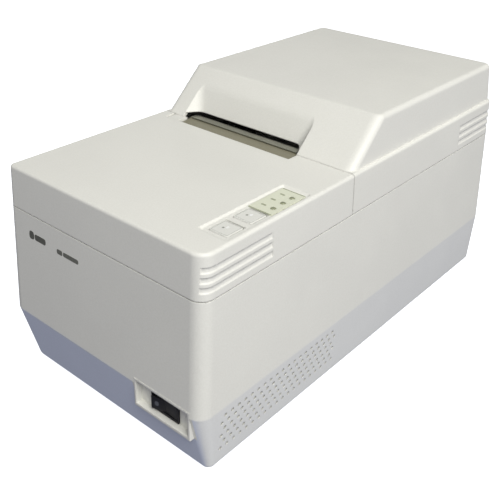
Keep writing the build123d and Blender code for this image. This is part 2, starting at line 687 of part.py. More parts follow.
def carriage_motor():
    """The stepper motor under the base plate that drives the belt."""
    motor = fillet(rod_z(18.0, DRIVE_X, BELT_Y, (38.0, 64.8)).edges().group_by(Axis.Z)[0], 1.5)
    flange = Pos(DRIVE_X, BELT_Y, 64.6) * extrude(SlotCenterToCenter(40, 12), MECH_BASE_Z - 64.6)
    motor += flange
    return motor - rod_z(MOTOR_SHAFT_R + RUN_FIT, DRIVE_X, BELT_Y, (55.0, 70.0))


def drive_motor_shaft():
    """The carriage motor's shaft."""
    return rod_z(MOTOR_SHAFT_R, DRIVE_X, BELT_Y, (55.4, 80.4))


def idler_stud():
    """The stud and cap that the belt's idler pulley turns on."""
    stud = rod_z(STUD_R, IDLER_X, BELT_Y, (PLATE_BOTTOM, BELT_Z[1] + 1.8))
    stud += rod_z(4.0, IDLER_X, BELT_Y, (PLATE_BOTTOM, BELT_Z[0] - 1.4))
    return stud + rod_z(3.6, IDLER_X, BELT_Y, (BELT_Z[1] + 1.4, BELT_Z[1] + 2.2))


def feed_motor():
    """The stepper motor behind the platen that turns the feed shaft."""
    ends = (17.0, RIGHT_PLATE_X)
    motor = fillet(rod_x(MOTOR_R, ends, MOTOR_Y, MOTOR_Z).edges().group_by(Axis.X)[0], 1.5)
    return motor - rod_x(MOTOR_SHAFT_R + RUN_FIT, (28.0, RIGHT_PLATE_X + 1), MOTOR_Y, MOTOR_Z)


def feed_motor_shaft():
    """The feed motor's shaft."""
    return rod_x(MOTOR_SHAFT_R, (28.4, GEAR_X + GEAR_W + 0.8), MOTOR_Y, MOTOR_Z)


def involute(base_r, radius):
    """Polar angle of an involute at a radius, in radians."""
    roll = math.sqrt(max((radius / base_r) ** 2 - 1, 0))
    return roll - math.atan(roll)


def spur_gear(teeth, centre, phase, bore):
    """A spur gear about X with true involute flanks; phase is one tooth's angle in degrees."""
    pitch_r = GEAR_MODULE * teeth / 2
    base_r = pitch_r * math.cos(math.radians(20))
    tip_r = pitch_r + 0.9 * GEAR_MODULE
    root_r = pitch_r - 1.25 * GEAR_MODULE
    half_tooth = math.pi / 2 / teeth - GEAR_BACKLASH / pitch_r
    start_r = max(base_r, root_r + 0.05)
    flank = []
    for step in range(5):
        radius = start_r + (tip_r - start_r) * step / 4
        angle = half_tooth + involute(base_r, pitch_r) - involute(base_r, radius)
        flank.append((radius, angle))
    profile = [(root_r, flank[0][1])] + flank
    points = []
    for tooth in range(teeth):
        middle = math.radians(phase) + 2 * math.pi * tooth / teeth
        turn = [(r, middle - a) for r, a in profile] + [(r, middle + a) for r, a in reversed(profile)]
        points += [(r * math.cos(a), r * math.sin(a)) for r, a in turn]
    face = Plane.YZ * make_face(Polyline(*points, close=True))
    gear = extrude(face, GEAR_W) - rod_x(bore, (-1, GEAR_W + 1), 0, 0)
    return Pos(GEAR_X, *centre) * gear


def meshed_phase(teeth, centre, other_teeth, other_centre, other_phase):
    """The phase that puts a gear in mesh with another one, in degrees."""
    to_other = math.degrees(math.atan2(other_centre[1] - centre[1], other_centre[0] - centre[0]))
    from_other = to_other + 180
    return to_other - (other_teeth / teeth) * (other_phase - from_other) + 180 / teeth


def idler_gear_centre():
    """Where the idler gear meets both its neighbours, above the line between them."""
    feed_reach = GEAR_MODULE * (FEED_TEETH + IDLER_TEETH) / 2 + GEAR_SPREAD
    motor_reach = GEAR_MODULE * (PINION_TEETH + IDLER_TEETH) / 2 + GEAR_SPREAD
    dy, dz = MOTOR_Y - FEED_Y, MOTOR_Z - FEED_Z
    base = math.hypot(dy, dz)
    along = (feed_reach ** 2 - motor_reach ** 2 + base ** 2) / (2 * base)
    up = math.sqrt(feed_reach ** 2 - along ** 2)
    return (FEED_Y + (along * dy - up * dz) / base, FEED_Z + (along * dz + up * dy) / base)


def idler_gear_stud():
    """The stud and cap that the idler gear turns on."""
    stud = rod_x(STUD_R, (RIGHT_PLATE_X, GEAR_X + GEAR_W + 0.6), *IDLER_GEAR)
    stud += rod_x(3.4, (RIGHT_PLATE_X + PLATE_T, GEAR_X - 0.3), *IDLER_GEAR)
    return stud + rod_x(3.4, (GEAR_X + GEAR_W + 0.3, GEAR_X + GEAR_W + 1.3), *IDLER_GEAR)


IDLER_GEAR = idler_gear_centre()
FEED_CENTRE = (FEED_Y, FEED_Z)
MOTOR_CENTRE = (MOTOR_Y, MOTOR_Z)
IDLER_PHASE = meshed_phase(IDLER_TEETH, IDLER_GEAR, FEED_TEETH, FEED_CENTRE, 0)
PINION_PHASE = meshed_phase(PINION_TEETH, MOTOR_CENTRE, IDLER_TEETH, IDLER_GEAR, IDLER_PHASE)


# ------------------------------------------------------------------ ribbon
def ribbon_cartridge():
    """The ribbon cartridge: a flat case with two arms that reach past the head."""
    case = span((-64.0, 36.0), (-116.0, -66.0), CARTRIDGE_Z)
    case = fillet(case.edges().filter_by(Axis.Z), 3.0)
    case = fillet(case.edges().group_by(Axis.Z)[-1], 1.0)
    for x in ARM_X:
        case += span(x, (-70.0, -18.8), (97.0, 112.0))
    for x in ((LEFT_PLATE_X, -63.0), (35.0, RIGHT_PLATE_X + PLATE_T)):
        case += span(x, (-92.0, -80.0), (CARTRIDGE_REST_Z, CARTRIDGE_REST_Z + 3))
    return case - rod_z(STUD_R + RUN_FIT, *KNOB, (108.0, 120.0))


def ribbon_knob():
    """The fluted knob that takes up slack ribbon by hand."""
    knob = rod_z(8.5, *KNOB, (CARTRIDGE_Z[1] + 0.4, CARTRIDGE_Z[1] + 5.0))
    knob = fillet(knob.edges().group_by(Axis.Z)[-1], 0.8)
    for step in range(12):
        angle = math.radians(30 * step)
        x, y = KNOB[0] + 9.0 * math.cos(angle), KNOB[1] + 9.0 * math.sin(angle)
        knob -= rod_z(1.3, x, y, (CARTRIDGE_Z[1], CARTRIDGE_Z[1] + 6))
    return knob + rod_z(STUD_R, *KNOB, (108.4, CARTRIDGE_Z[1] + 1))


def ink_ribbon():
    """The stretch of inked ribbon between the cartridge's arms."""
    return span((ARM_X[0][1], ARM_X[1][0]), (-19.5, -19.2), (98.5, 110.5))


# ------------------------------------------------------------------ paper exit
def paper_guide():
    """The sloping guide below the slot, standing on the side plates."""
    wide = (LEFT_PLATE_X, RIGHT_PLATE_X + PLATE_T)
    guide = span(wide, (-33.0, -22.0), (PLATE_TOP, DECK_Z - 4.2))
    lip = [(-33.2, DECK_Z - 5), (-33.2, DECK_Z - 3.0), (-25.9, DECK_Z - 1.9), (-25.9, DECK_Z - 5)]
    guide += plate_x(lip, (GUIDE_LEFT, NOTCH_X[1] - 0.5))
    rear = [(-26.0, DECK_Z - 5), (-26.0, DECK_Z - 1.915), (-18.4, DECK_Z - 0.9), (-18.4, DECK_Z - 5)]
    guide += plate_x(rear, (GUIDE_LEFT, SCOOP_X[1] - 0.6))
    return guide


def tear_bar():
    """The serrated steel blade on the guide's rear edge."""
    first, last = GUIDE_LEFT + 1, SCOOP_X[1] - 2
    count = int((last - first) / TEAR_PITCH)
    points = [(first, -22.5)]
    for tooth in range(count):
        valley_x = first + TEAR_PITCH * tooth
        points += [(valley_x, TEAR_TIP_Y - 1.0), (valley_x + TEAR_PITCH / 2, TEAR_TIP_Y)]
    end = first + TEAR_PITCH * count
    points += [(end, TEAR_TIP_Y - 1.0), (end, -22.5)]
    blade = extrude(make_face(Polyline(*points, close=True)), 0.5)
    return Pos(0, 0, DECK_Z - 0.85) * blade


# ------------------------------------------------------------------ paper roll
def paper_well():
    """The rear inner deck with the trough that the roll hangs in."""
    well = drafted(*INNER_DECK_Z, WALL + 0.2) & span((-90, 90), (22.0, 160), (0, 200))
    outer_x = (WELL_X[0] - WELL_WALL, WELL_X[1] + WELL_WALL)
    outer_r = WELL_R + WELL_WALL
    lower_half = span((-90, 90), (0, 160), (0, WELL_Z))
    well += rod_x(outer_r, outer_x, WELL_Y, WELL_Z) & lower_half
    well += span(outer_x, (WELL_Y - outer_r, WELL_Y + outer_r), (WELL_Z, INNER_DECK_Z[1]))
    well -= rod_x(WELL_R, WELL_X, WELL_Y, WELL_Z)
    well -= span(WELL_X, (WELL_Y - WELL_R, WELL_Y + WELL_R), (WELL_Z, 150))
    slot_r = SPINDLE_R + RUN_FIT
    well -= rod_x(slot_r, (-70, 40), WELL_Y, ROLL_Z)
    return well - span((-70, 40), (WELL_Y - slot_r, WELL_Y + slot_r), (ROLL_Z, 150))


def roll_spindle():
    """The spindle that carries the roll, with a flange at each end."""
    spindle = rod_x(SPINDLE_R, (WELL_X[0] - 4.0, WELL_X[1] + 4.0), WELL_Y, ROLL_Z)
    spindle += rod_x(CORE_R - 1.5, (ROLL_X[0] - 3.0, ROLL_X[1] + 3.0), WELL_Y, ROLL_Z)
    for x in (ROLL_X[0] - 4.4, ROLL_X[1] + 2.9):
        spindle += rod_x(10.0, (x, x + 1.5), WELL_Y, ROLL_Z)
    return spindle


def tube(outer_r, inner_r, x):
    """A tube about the roll's axis."""
    return rod_x(outer_r, x, WELL_Y, ROLL_Z) - rod_x(inner_r, x, WELL_Y, ROLL_Z)


# ------------------------------------------------------------------ electrics
def main_board():
    """The control board on the floor of the case."""
    board = span(BOARD_X, BOARD_Y, (BOARD_Z, BOARD_Z + BOARD_T))
    for x, y in BOARD_POSTS:
        board -= rod_z(SCREW_R, x, y, (BOARD_Z - 1, BOARD_Z + 3))
    for x, y in DECK_POSTS + MECH_POSTS:
        board -= rod_z(5.0, x, y, (BOARD_Z - 1, BOARD_Z + 3))
    return board


def board_chips():
    """The larger packages on the control board."""
    top = BOARD_Z + BOARD_T
    sizes = [(-30, 60, 36, 14), (-30, 84, 36, 14), (18, 52, 24, 24), (24, 92, 14, 30), (-44, 112, 20, 8)]
    chips = []
    for x, y, width, depth in sizes:
        x_span = (x - width / 2, x + width / 2)
        chips.append(span(x_span, (y - depth / 2, y + depth / 2), (top, top + 3.6)))
    return chips


def capacitors():
    """Three upright smoothing capacitors."""
    top = BOARD_Z + BOARD_T
    sizes = [(6, 34, 24), (6, 20, 24), (5, 7, 18)]
    cans = [rod_z(radius, x, 22, (top, top + height)) for radius, x, height in sizes]
    return [fillet(can.edges().group_by(Axis.Z)[-1], 1.0) for can in cans]


def heat_sink():
    """The finned heat sink of the motor drivers."""
    top = BOARD_Z + BOARD_T
    sink = span((-52.0, -8.0), (18.0, 38.0), (top, top + 4.0))
    for step in range(8):
        x = -52.0 + 6.06 * step
        sink += span((x, x + 1.6), (18.0, 38.0), (top + 3.9, top + 18.0))
    return sink


def transformer_core():
    """The laminated core of the mains transformer."""
    core = span((-44.0, 6.0), (-128.0, -100.0), (6.5, 48.5))
    for x in ((-38.0, -26.0), (-12.0, 0.0)):
        core -= span(x, (-130, -98), (13.5, 41.5))
    return core


def transformer_coil():
    """The winding round the core's middle leg."""
    coil = span((-37.6, -0.4), (-136.0, -92.0), (14.0, 41.0))
    coil = fillet(coil.edges().filter_by(Axis.Z), 5.0)
    return coil - transformer_core()


def transformer_bracket():
    """The steel strap under the transformer."""
    strap = span((-57.0, 19.0), (-120.0, -108.0), (BASE_Z + FLOOR, 6.5))
    for x, y in BRACKET_POSTS:
        strap -= rod_z(SCREW_R, x, y, (0, 8))
    return strap


def screws(points, seat_z, length):
    """Pan-head screws that point down, one at each (x, y)."""
    made = []
    for x, y in points:
        head = fillet(rod_z(2.9, x, y, (seat_z, seat_z + 2.0)).edges().group_by(Axis.Z)[-1], 0.8)
        head -= span((x - 2.2, x + 2.2), (y - 0.35, y + 0.35), (seat_z + 1.1, seat_z + 3))
        head -= span((x - 0.35, x + 0.35), (y - 2.2, y + 2.2), (seat_z + 1.1, seat_z + 3))
        made.append(head + rod_z(SCREW_R, x, y, (seat_z - length, seat_z + 0.5)))
    return made


def mounting_screws():
    """The screws of the mechanism, the control board and the transformer."""
    made = screws(MECH_POSTS, PLATE_BOTTOM, 9.0)
    made += screws(BOARD_POSTS, BOARD_Z + BOARD_T, 6.0)
    return made + screws(BRACKET_POSTS, 6.5, 3.0)


def connector_plate():
    """The steel plate behind the rear window, cut out for each connector."""
    y = (REAR_PLATE_Y, REAR_PLATE_Y + REAR_PLATE_T)
    plate = span((-54.0, 54.0), y, (9.0, 42.0))
    for x, z in ((INLET_X, INLET_Z), (PORT_X, PORT_Z), (JACK_X, JACK_Z), (DIP_X, DIP_Z)):
        plate -= span((x[0] - 0.1, x[1] + 0.1), (y[0] - 1, y[1] + 1), (z[0] - 0.1, z[1] + 0.1))
    return plate


def power_inlet():
    """The mains inlet: a block with an open socket."""
    inlet = span(INLET_X, (130.0, 149.6), INLET_Z)
    inlet = fillet(inlet.edges().filter_by(Axis.Y), 1.5)
    socket = span(SOCKET_X, (134.0, 151.0), SOCKET_Z)
    return inlet - chamfer(socket.edges().filter_by(Axis.Y).group_by(Axis.Z)[-1], 4.0)


def inlet_pins():
    """The three contact pins in the mains inlet."""
    centre_x = sum(SOCKET_X) / 2
    places = [(centre_x - 7.0, 24.0), (centre_x, 28.5), (centre_x + 7.0, 24.0)]
    return [span((x - 1, x + 1), (134.0, 143.0), (z - 2, z + 2)) for x, z in places]


def interface_connector():
    """The data socket: a D-shaped metal shell round its insulator."""
    block = span(PORT_X, (134.0, 147.6), PORT_Z)
    mid_x, mid_z = sum(PORT_X) / 2, sum(PORT_Z) / 2
    corners = [(-17.0, -3.2), (17.0, -3.2), (19.0, 4.2), (-19.0, 4.2)]
    front = Plane((mid_x, 147.6, mid_z), x_dir=(1, 0, 0), z_dir=(0, -1, 0))
    shell = extrude(front * make_face(Polyline(*corners, close=True)), -3.6)
    for index in range(25):
        row = index % 2
        x = mid_x - 16.2 + 1.35 * index
        shell -= rod_y(0.55, x, (149.0, 152.0), mid_z - 0.9 + 2.8 * row)
    return block + shell


def drawer_jack():
    """The modular socket that fires a cash drawer."""
    jack = span(JACK_X, (132.0, 149.2), JACK_Z)
    jack -= span((JACK_X[0] + 1.0, JACK_X[1] - 1.0), (136.0, 150.0), (JACK_Z[0] + 2.0, JACK_Z[1] - 4.5))
    return jack


def setting_switches():
    """The bank of small setting switches."""
    bank = span(DIP_X, (140.0, 148.4), DIP_Z)
    for step in range(4):
        x = DIP_X[0] + 1.4 + 2.2 * step
        bank -= span((x, x + 1.2), (147.6, 149.0), (DIP_Z[0] + 2, DIP_Z[1] - 2))
        bank += span((x, x + 1.2), (147.5, 148.8), (DIP_Z[0] + 2, DIP_Z[0] + 3.6))
    return bank


def main():
    os.makedirs("parts", exist_ok=True)
    gear_args = (FEED_TEETH, FEED_CENTRE, 0, FEED_SHAFT_R)
    idler_args = (IDLER_TEETH, IDLER_GEAR, IDLER_PHASE, STUD_R + RUN_FIT)
    pinion_args = (PINION_TEETH, MOTOR_CENTRE, PINION_PHASE, MOTOR_SHAFT_R)
    nodes = {
        "lower_case": lower_case(),
        "rubber_feet": rubber_feet(),
        "front_cover": front_cover(),
        "rear_cover": rear_cover(),
        "feed_button": button(FEED_BUTTON_Y),
        "online_button": button(ONLINE_BUTTON_Y),
        "panel_label": panel_label(),
        "led_lenses": led_lenses(),
        "panel_bracket": panel_bracket(),
        "panel_board": panel_board(),
        "panel_switches": panel_switches(),
        "indicator_leds": indicator_leds(),
        "switch_housing": switch_housing(),
        "power_rocker": power_rocker(),
        "mechanism_base": mechanism_base(),
        "left_side_plate": side_plate(LEFT_PLATE_X),
        "right_side_plate": right_side_plate(),
        "carriage_shaft": carriage_shaft(),
        "guide_rail": guide_rail(),
        "head_carriage": head_carriage(),
        "print_head": print_head(),
        "platen_bar": platen_bar(),
        "platen_pad": platen_pad(),
        "feed_shaft": feed_shaft(),
        "feed_rollers": rollers(FEED_ROLLER_R, FEED_SHAFT_R, FEED_Y),
        "pressure_shaft": pressure_shaft(),
        "pressure_rollers": rollers(PRESS_ROLLER_R, PRESS_SHAFT_R, PRESS_Y),
        "paper_chute": paper_chute(),
        "drive_belt": drive_belt(),
        "drive_pulley": pulley(DRIVE_X, MOTOR_SHAFT_R),
        "idler_pulley": pulley(IDLER_X, STUD_R + RUN_FIT),
        "idler_stud": idler_stud(),
        "carriage_motor": carriage_motor(),
        "drive_motor_shaft": drive_motor_shaft(),
        "feed_motor": feed_motor(),
        "feed_motor_shaft": feed_motor_shaft(),
        "feed_gear": spur_gear(*gear_args),
        "idler_gear": spur_gear(*idler_args),
        "feed_pinion": spur_gear(*pinion_args),
        "idler_gear_stud": idler_gear_stud(),
        "ribbon_cartridge": ribbon_cartridge(),
        "ribbon_knob": ribbon_knob(),
        "ink_ribbon": ink_ribbon(),
        "paper_guide": paper_guide(),
        "tear_bar": tear_bar(),
        "paper_well": paper_well(),
        "roll_spindle": roll_spindle(),
        "roll_core": tube(CORE_R, CORE_R - 1.5, ROLL_X),
        "paper_roll": tube(ROLL_R, CORE_R, ROLL_X),
        "main_board": main_board(),
        "board_parts": board_chips() + capacitors(),
        "heat_sink": heat_sink(),
        "transformer_core": transformer_core(),
        "transformer_coil": transformer_coil(),
        "transformer_bracket": transformer_bracket(),
        "connector_plate": connector_plate(),
        "power_inlet": power_inlet(),
        "inlet_pins": inlet_pins(),
        "data_and_drawer_sockets": [interface_connector(), drawer_jack(), setting_switches()],
        "mounting_screws": mounting_screws(),
    }
    for name, shape in nodes.items():
        shape = Compound(children=shape) if isinstance(shape, list) else shape
        export_step(shape, f"parts/{name}.step")


main()
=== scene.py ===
import json
import math

import bmesh
import bpy
from mathutils import Matrix, Vector


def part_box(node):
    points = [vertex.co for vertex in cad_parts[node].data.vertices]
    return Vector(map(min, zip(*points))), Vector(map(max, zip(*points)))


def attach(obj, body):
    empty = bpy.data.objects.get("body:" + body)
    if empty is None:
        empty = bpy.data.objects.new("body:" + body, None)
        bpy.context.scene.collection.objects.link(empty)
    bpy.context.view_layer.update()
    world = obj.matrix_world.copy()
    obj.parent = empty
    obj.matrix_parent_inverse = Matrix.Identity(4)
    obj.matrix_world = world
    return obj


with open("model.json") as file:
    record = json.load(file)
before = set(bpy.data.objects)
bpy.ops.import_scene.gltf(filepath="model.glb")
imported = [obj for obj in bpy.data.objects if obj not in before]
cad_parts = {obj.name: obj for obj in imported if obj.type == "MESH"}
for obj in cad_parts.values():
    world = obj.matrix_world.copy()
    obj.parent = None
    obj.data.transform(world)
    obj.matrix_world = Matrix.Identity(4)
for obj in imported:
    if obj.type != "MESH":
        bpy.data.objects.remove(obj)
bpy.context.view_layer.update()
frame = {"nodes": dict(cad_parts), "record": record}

MM = 0.001
NODES = frame["nodes"]
scene = bpy.context.scene


# ---------------------------------------------------------------- material graphs
class Graph:
    """A node material under construction: one Principled shader and short ways to add nodes."""

    def __init__(self, name, metallic=0.0, specular=0.5, coat=0.0, coat_rough=0.1):
        self.material = bpy.data.materials.new(name)
        self.material.use_nodes = True
        self.tree = self.material.node_tree
        self.tree.nodes.clear()
        output = self.tree.nodes.new("ShaderNodeOutputMaterial")
        self.shader = self.tree.nodes.new("ShaderNodeBsdfPrincipled")
        self.tree.links.new(self.shader.outputs["BSDF"], output.inputs["Surface"])
        self.shader.inputs["Metallic"].default_value = metallic
        self.shader.inputs["Specular IOR Level"].default_value = specular
        self.shader.inputs["Coat Weight"].default_value = coat
        self.shader.inputs["Coat Roughness"].default_value = coat_rough
        self.place = self.tree.nodes.new("ShaderNodeTexCoord").outputs["Object"]

    def put(self, node, key, value):
        """Sets an input to a number, a colour or another node's output."""
        socket = node.inputs[key]
        if isinstance(value, bpy.types.NodeSocket):
            self.tree.links.new(value, socket)
        elif isinstance(value, (tuple, list)) and len(value) == 3 and socket.type == "RGBA":
            socket.default_value = (*value, 1.0)
        else:
            socket.default_value = value

    def add(self, kind, inputs=(), **settings):
        """Adds one shader node, with its inputs by name or number and its own settings."""
        node = self.tree.nodes.new("ShaderNode" + kind)
        for key, value in settings.items():
            setattr(node, key, value)
        for key, value in dict(inputs).items():
            self.put(node, key, value)
        return node

    def noise(self, scale, detail=3.0, rough=0.55, place=None):
        """Fractal noise of 0 to 1; a larger scale is finer."""
        inputs = {"Vector": place or self.place, "Scale": scale, "Detail": detail, "Roughness": rough}
        return self.add("TexNoise", inputs).outputs["Fac"]

    def stretch(self, factors):
        """The place on the object, scaled differently along each axis."""
        return self.add("Mapping", {"Vector": self.place, "Scale": factors}).outputs["Vector"]

    def ramp(self, fac, low, high, start=0.0, end=1.0):
        """Maps fac from low..high to start..end, smoothly and held at both ends."""
        inputs = {"Value": fac, "From Min": low, "From Max": high, "To Min": start, "To Max": end}
        node = self.add("MapRange", inputs, interpolation_type="SMOOTHSTEP")
        return node.outputs["Result"]

    def mix(self, fac, a, b, mode="MIX"):
        """Blends colour b over colour a."""
        node = self.add("Mix", data_type="RGBA", blend_type=mode)
        self.put(node, 0, fac)
        self.put(node, 6, a)
        self.put(node, 7, b)
        return node.outputs[2]

    def math(self, operation, a, b=0.0):
        return self.add("Math", {0: a, 1: b}, operation=operation).outputs[0]

    def plus(self, base, extra, share):
        """Adds a share of extra to base."""
        return self.math("ADD", base, self.math("MULTIPLY", extra, share))

    def axis(self, name):
        """One coordinate of the place on the object, in metres."""
        return self.add("SeparateXYZ", {0: self.place}).outputs[name]

    def waves(self, value, pitch):
        """A sine of -1 to 1 that repeats each pitch."""
        return self.math("SINE", self.math("MULTIPLY", value, 2 * math.pi / pitch))

    def sideways(self):
        """How far the surface faces along X, either way: 0 to 1."""
        normal = self.add("NewGeometry").outputs["Normal"]
        leaning = self.add("SeparateXYZ", {0: normal}).outputs["X"]
        return self.math("ABSOLUTE", leaning)

    def edge(self, radius):
        """0 on flat faces, up to 1 on edges, from how far a rounded normal leans away."""
        bevel = self.add("Bevel", {"Radius": radius}, samples=4).outputs["Normal"]
        flat = self.add("NewGeometry").outputs["Normal"]
        dot = self.add("VectorMath", {0: bevel, 1: flat}, operation="DOT_PRODUCT").outputs["Value"]
        return bevel, self.ramp(dot, 0.999, 0.75, 0.0, 1.0)

    def finish(self, colour, rough, height, depth, normal=None):
        """Connects the colour, the roughness and a bump of a given depth, and returns the material."""
        self.put(self.shader, "Base Color", colour)
        self.put(self.shader, "Roughness", rough)
        bump = self.add("Bump", {"Height": height, "Distance": depth, "Strength": 1.0})
        if normal is not None:
            self.put(bump, "Normal", normal)
        self.put(self.shader, "Normal", bump.outputs["Normal"])
        return self.material


def tone(colour, factor):
    """A lighter or darker version of a colour."""
    return tuple(min(1.0, channel * factor) for channel in colour)


def within(g, limits):
    """1 inside a box given as {axis: (low, high)}, 0 outside it; "sides" is X without its sign."""
    share = 1.0
    for axis, (low, high) in limits.items():
        value = g.math("ABSOLUTE", g.axis("X")) if axis == "sides" else g.axis(axis)
        share = g.math("MULTIPLY", share, g.ramp(value, low - MASK_BLUR, low + MASK_BLUR))
        share = g.math("MULTIPLY", share, g.ramp(value, high + MASK_BLUR, high - MASK_BLUR))
    return share


def plinth_painted_shade(g, base):
    """Paints bluish shade on the plinth, most of all on its front, but not on the switch frame; paints
    shade into the vent holes.
    """
    sideways = g.sideways()
    share = g.ramp(sideways, 0.1, 0.8, 1.0, SIDE_SHADE_SHARE)
    plinth = g.ramp(g.axis("Z"), PLINTH_TOP + SHADE_LINE_BLUR, PLINTH_TOP - SHADE_LINE_BLUR)
    share = g.math("MULTIPLY", share, plinth)
    share = g.math("MULTIPLY", share, g.math("SUBTRACT", 1.0, within(g, SWITCH_FRAME)))
    base = g.mix(share, base, PLINTH_PAINTED_SHADE, "MULTIPLY")
    # Painted shade in the vent holes.
    holes = g.math("MULTIPLY", within(g, VENT_BAND), g.ramp(sideways, 0.9, 0.6))
    return g.mix(holes, base, VENT_PAINTED_SHADE, "MULTIPLY")


def plastic(name, colour, rough=0.5, grain=1100.0, depth=0.00002, worn=1.12, tinted=False, **extra):
    """Moulded plastic: spark texture, faint blotches, handling marks and lighter worn edges."""
    g = Graph(name, **extra)
    blotch = g.noise(14.0, 4.0)
    base = g.mix(g.ramp(blotch, 0.3, 0.7), tone(colour, 0.985), tone(colour, 1.01))
    # On the lower case: painted bluish shade on the plinth and painted shade in the vent holes.
    if tinted:
        base = plinth_painted_shade(g, base)
    rounded, edge = g.edge(0.0009)
    scuff = g.ramp(g.noise(220.0, 5.0, 0.7), 0.45, 0.62)
    base = g.mix(g.math("MULTIPLY", edge, scuff), base, tone(colour, worn))
    speck = g.noise(grain, 2.0)
    base = g.mix(g.ramp(speck, 0.3, 0.7, 0.0, 0.12), base, tone(colour, 0.9), "MULTIPLY")
    smear = g.noise(38.0, 3.0)
    roughness = g.plus(g.ramp(smear, 0.3, 0.7, rough - 0.06, rough + 0.07), speck, 0.05)
    return g.finish(base, roughness, speck, depth, rounded)


def metal(name, colour, rough=0.35, along=(1.0, 1.0, 40.0), scale=60.0, spots=0.0, **extra):
    """Sheet or turned metal: fine lines across one axis, plated blotches and brighter edges."""
    g = Graph(name, metallic=1.0, **extra)
    lines = g.noise(scale, 4.0, 0.6, g.stretch(along))
    cloud = g.noise(55.0, 4.0)
    base = g.mix(g.ramp(cloud, 0.35, 0.65), tone(colour, 0.88), tone(colour, 1.05))
    base = g.mix(g.ramp(lines, 0.3, 0.7, 0.0, 0.5), base, tone(colour, 0.8))
    if spots:
        cells = g.add("TexVoronoi", {"Vector": g.place, "Scale": spots}).outputs["Color"]
        base = g.mix(0.12, base, cells, "OVERLAY")
    rounded, edge = g.edge(0.0004)
    base = g.mix(edge, base, tone(colour, 1.25))
    roughness = g.plus(g.ramp(cloud, 0.3, 0.7, rough - 0.07, rough + 0.08), lines, 0.12)
    return g.finish(base, roughness, lines, 0.00002, rounded)


def rubber(name, colour, rough=0.8, grain=1400.0):
    """Matt rubber: fine grain, dusty blotches and greyer rubbed edges."""
    g = Graph(name, specular=0.35)
    dust = g.ramp(g.noise(60.0, 5.0, 0.65), 0.45, 0.75)
    base = g.mix(dust, colour, tone(colour, 1.9))
    rounded, edge = g.edge(0.0005)
    base = g.mix(edge, base, tone(colour, 2.6))
    grit = g.noise(grain, 2.0)
    roughness = g.ramp(grit, 0.3, 0.7, rough - 0.1, rough + 0.08)
    return g.finish(base, roughness, grit, 0.00004, rounded)


def circuit_board(name, colour):
    """Solder mask over copper: lighter traces in a right-angled pattern, pads and vias."""
    g = Graph(name, specular=0.5, coat=0.25, coat_rough=0.25)
    grid = {"Vector": g.place, "Scale": 110.0, "Randomness": 0.35}
    cells = g.add("TexVoronoi", grid, distance="CHEBYCHEV")
    brick = {"Vector": g.place, "Scale": 120.0, "Mortar Size": 0.012, "Mortar Smooth": 0.2}
    brick.update({"Color1": (0, 0, 0), "Color2": (0, 0, 0), "Mortar": (1, 1, 1)})
    traces = g.add("TexBrick", brick).outputs["Color"]
    keep = g.ramp(g.noise(30.0, 1.0), 0.45, 0.5)
    shown = g.math("MULTIPLY", traces, keep)
    base = g.mix(shown, colour, tone(colour, 1.9))
    via = g.ramp(cells.outputs["Distance"], 0.10, 0.07)
    base = g.mix(via, base, (0.62, 0.58, 0.42))
    cloud = g.noise(24.0, 4.0)
    base = g.mix(g.ramp(cloud, 0.3, 0.7, 0.0, 0.4), base, tone(colour, 0.7))
    weave = g.add("TexWave", {"Vector": g.place, "Scale": 900.0, "Distortion": 1.5}).outputs["Fac"]
    return g.finish(base, g.ramp(cloud, 0.3, 0.7, 0.28, 0.42), g.plus(shown, weave, 0.2), 0.00003)


def layered(name, colour, centre, pitch, rough, dark=0.8):
    """Wound paper or card: rings about an axis along X, with fibres and faint stains."""
    g = Graph(name, specular=0.25)
    y = g.math("SUBTRACT", g.axis("Y"), centre[0])
    z = g.math("SUBTRACT", g.axis("Z"), centre[1])
    radius = g.math("SQRT", g.math("ADD", g.math("MULTIPLY", y, y), g.math("MULTIPLY", z, z)))
    rings = g.ramp(g.waves(radius, pitch), -1.0, 1.0)
    share = g.math("MULTIPLY", g.ramp(g.sideways(), 0.8, 0.95), rings)
    base = g.mix(g.math("MULTIPLY", share, 0.6), colour, tone(colour, dark))
    fibre = g.noise(700.0, 5.0, 0.7, g.stretch((0.3, 1.0, 1.0)))
    base = g.mix(g.ramp(fibre, 0.3, 0.7, 0.0, 0.3), base, tone(colour, 0.93))
    stain = g.noise(18.0, 3.0)
    base = g.mix(g.ramp(stain, 0.4, 0.7, 0.0, 0.25), base, tone(colour, 0.95))
    roughness = g.ramp(fibre, 0.3, 0.7, rough - 0.05, rough + 0.08)
    return g.finish(base, roughness, g.math("ADD", share, fibre), 0.00003)


def striped(name, colour, other, axis, pitch, rough, depth=0.00012, metallic=0.0):
    """Windings, laminations or belt teeth: even stripes along one axis with uneven colour."""
    g = Graph(name, metallic=metallic, specular=0.4)
    lines = g.ramp(g.waves(g.axis(axis), pitch), -0.4, 0.9)
    cloud = g.noise(70.0, 4.0)
    base = g.mix(lines, other, colour)
    base = g.mix(g.ramp(cloud, 0.35, 0.7, 0.0, 0.5), base, tone(colour, 0.7))
    rounded, edge = g.edge(0.0004)
    base = g.mix(g.math("MULTIPLY", edge, 0.5), base, tone(colour, 1.3))
    return g.finish(base, g.ramp(cloud, 0.3, 0.7, rough - 0.08, rough + 0.08), lines, depth, rounded)


def woven(name, colour, pitch, rough):
    """Inked fabric: a fine two-way weave with dry patches."""
    g = Graph(name, specular=0.3)
    threads = g.math("MULTIPLY", g.waves(g.axis("X"), pitch), g.waves(g.axis("Z"), pitch))
    weave = g.ramp(threads, -1.0, 1.0)
    dry = g.noise(45.0, 4.0)
    base = g.mix(weave, tone(colour, 0.6), tone(colour, 1.4))
    base = g.mix(g.ramp(dry, 0.5, 0.75, 0.0, 0.6), base, tone(colour, 2.4))
    return g.finish(base, g.ramp(dry, 0.3, 0.7, rough - 0.1, rough + 0.05), weave, 0.00004)


